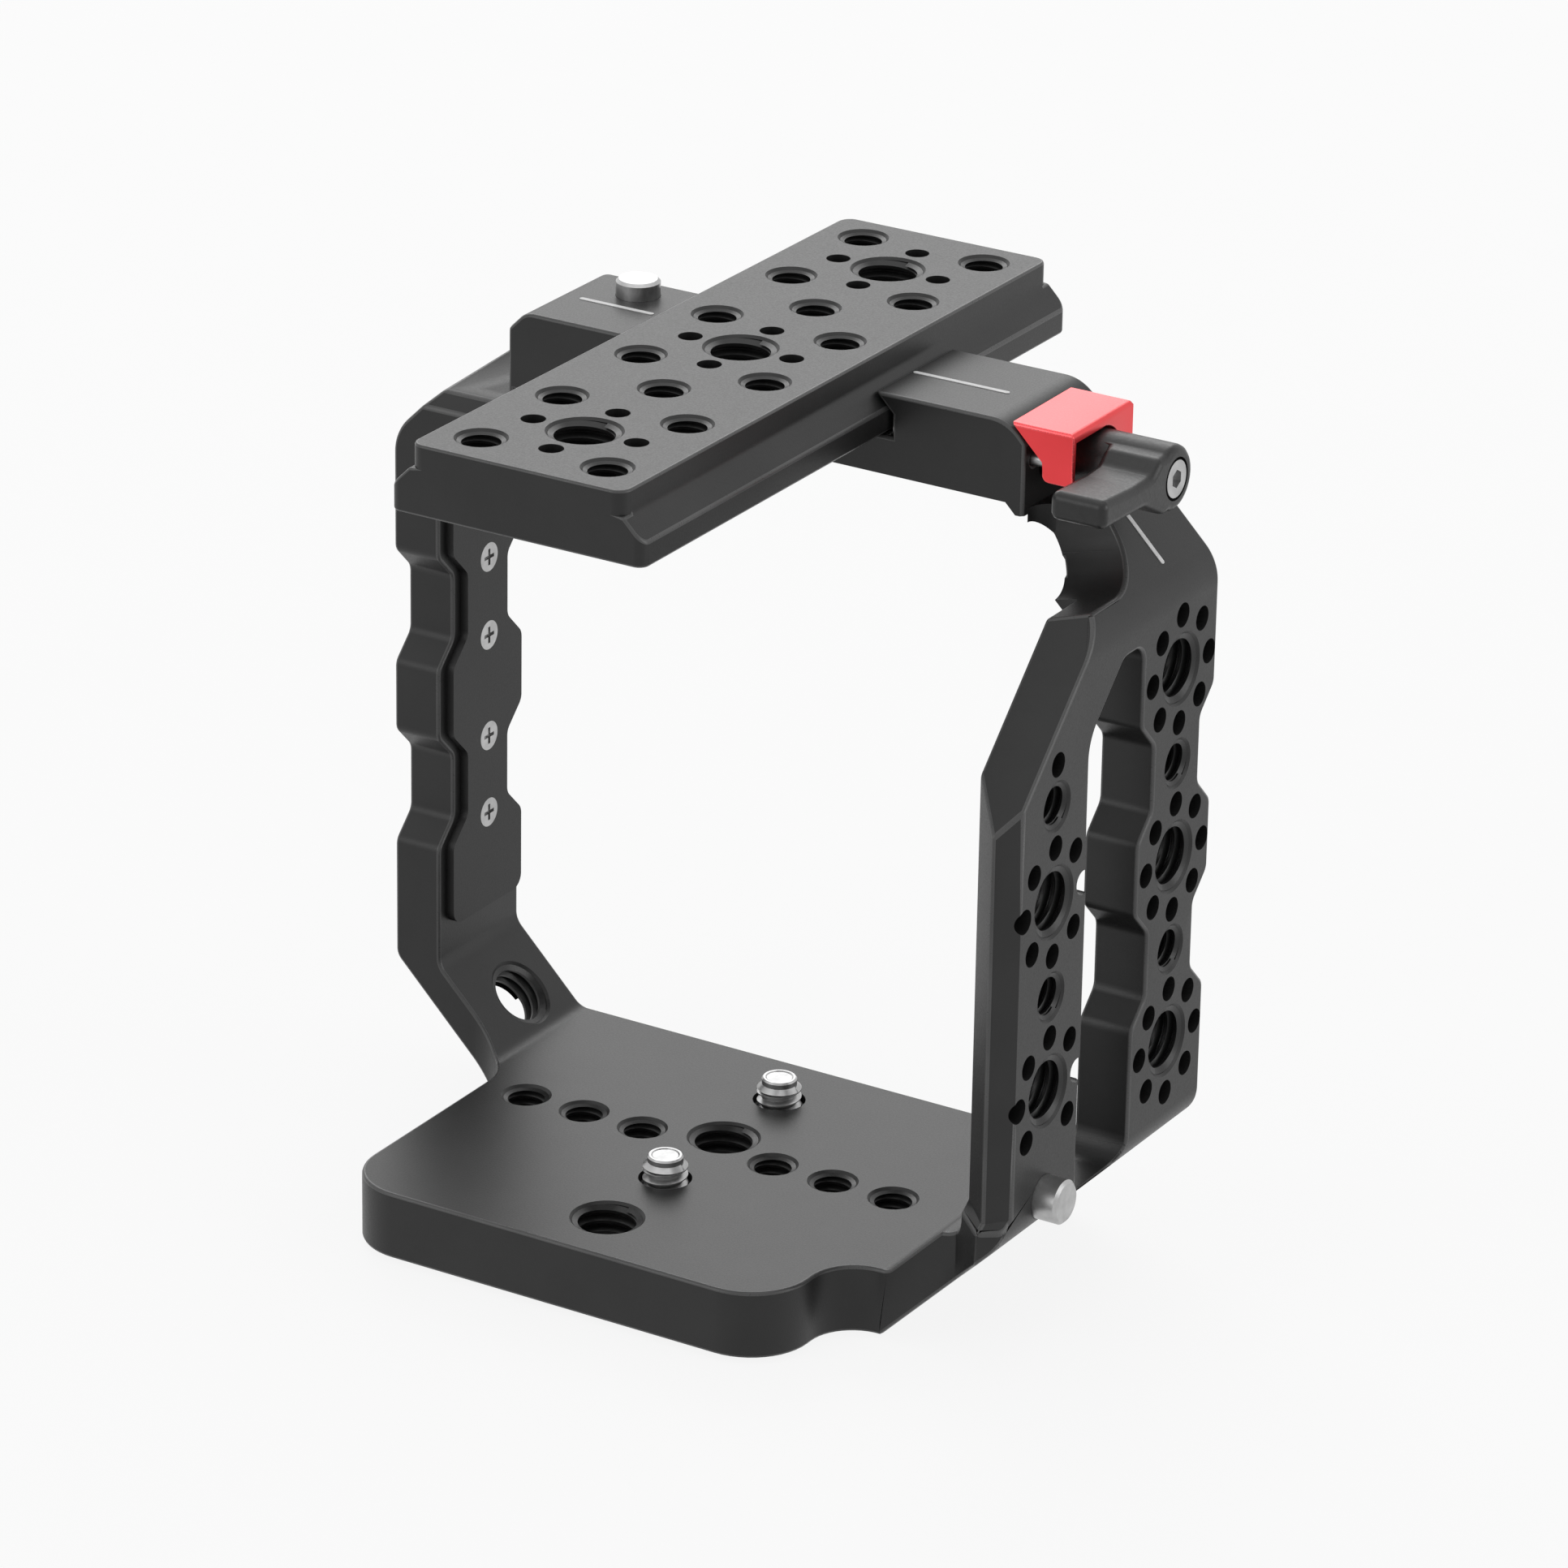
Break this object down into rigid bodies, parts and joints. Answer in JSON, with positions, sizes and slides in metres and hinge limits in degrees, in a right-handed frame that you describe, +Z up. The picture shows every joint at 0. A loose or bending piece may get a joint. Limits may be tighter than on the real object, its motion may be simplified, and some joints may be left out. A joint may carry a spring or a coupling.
{
  "type": "camera cage",
  "caption": "Closed metal loop round a camera body, with tapped mounting holes, a sliding top plate held by a lever clamp, sprung buttons and captive base screws.",
  "frame": {"origin": "top face of the base plate, at the middle of its row of small tapped holes", "axes": "+X right along the hole row towards the side plate, +Y to the rear, +Z up"},
  "size_m": [0.1206, 0.1072, 0.125],
  "materials": {
    "frame_black": "bead-blasted black anodised aluminium",
    "plate_black": "bead-blasted black anodised aluminium",
    "liner_black": "satin black anodised sheet",
    "jaw_red": "bright red anodised aluminium",
    "lever_black": "fine textured black powder coat on cast zinc",
    "bright_steel": "turned stainless steel",
    "dark_steel": "plain ground steel",
    "spring_steel": "drawn spring wire",
    "insert_brass": "turned brass",
    "index_white": "white filled engraving"
  },
  "bodies": {
    "frame": {"base_plate": "frame_black", "left_leg": "frame_black", "left_arm": "frame_black", "crossbar": "frame_black", "right_shoulder": "frame_black", "side_plate": "frame_black", "right_leg": "frame_black", "liner_plate": "liner_black", "liner_screws": "bright_steel", "index_lines": "index_white", "screw_washers": "dark_steel", "top_button_plug": "frame_black", "side_button_plug": "frame_black", "top_button_spring": "spring_steel", "side_button_spring": "spring_steel", "stud_insert": "insert_brass"},
    "top_plate": {"top_plate": "plate_black"},
    "clamp_jaw": {"clamp_jaw": "jaw_red", "clamp_rods": "dark_steel", "pressure_pad": "dark_steel"},
    "clamp_lever": {"lever_handle": "lever_black", "lever_stud": "dark_steel", "lever_screw": "bright_steel"},
    "top_button": {"top_button": "bright_steel"},
    "side_button": {"side_button": "bright_steel"},
    "camera_screw_front": {"camera_screw_front": "bright_steel", "camera_thread_front": "bright_steel"},
    "camera_screw_rear": {"camera_screw_rear": "bright_steel", "camera_thread_rear": "bright_steel"}
  },
  "joints": [
    {"name": "top_plate_slide", "type": "slide", "parent": "frame", "child": "top_plate", "axis": [0, 1, 0], "range_m": [-0.027, 0.058]},
    {"name": "clamp_jaw_slide", "type": "slide", "parent": "frame", "child": "clamp_jaw", "axis": [1, 0, 0], "range_m": [-0.00034, 0.00009]},
    {"name": "clamp_lever_turn", "type": "hinge", "parent": "clamp_jaw", "child": "clamp_lever", "pos_m": [0, 0.0171, 0.1043], "axis": [1, 0, 0], "range_deg": [-120, 30]},
    {"name": "top_button_press", "type": "slide", "parent": "frame", "child": "top_button", "axis": [0, 0, -1], "range_m": [0, 0.002], "stiffness_N_per_m": 400, "springref_m": -0.001, "deforming": ["top_button_spring"]},
    {"name": "side_button_press", "type": "slide", "parent": "frame", "child": "side_button", "axis": [-1, 0, 0], "range_m": [0, 0.0012], "stiffness_N_per_m": 600, "springref_m": -0.001, "deforming": ["side_button_spring"]},
    {"name": "camera_screw_front_turn", "type": "hinge", "parent": "frame", "child": "camera_screw_front", "pos_m": [0.0005, -0.01155, 0], "axis": [0, 0, 1], "continuous": true},
    {"name": "camera_screw_rear_turn", "type": "hinge", "parent": "frame", "child": "camera_screw_rear", "pos_m": [0.0005, 0.01795, 0], "axis": [0, 0, 1], "continuous": true}
  ],
  "couplings": [
    {"joint": "clamp_jaw_slide", "follows": "clamp_lever_turn", "m_per_rad": 0.00015915}
  ]
}
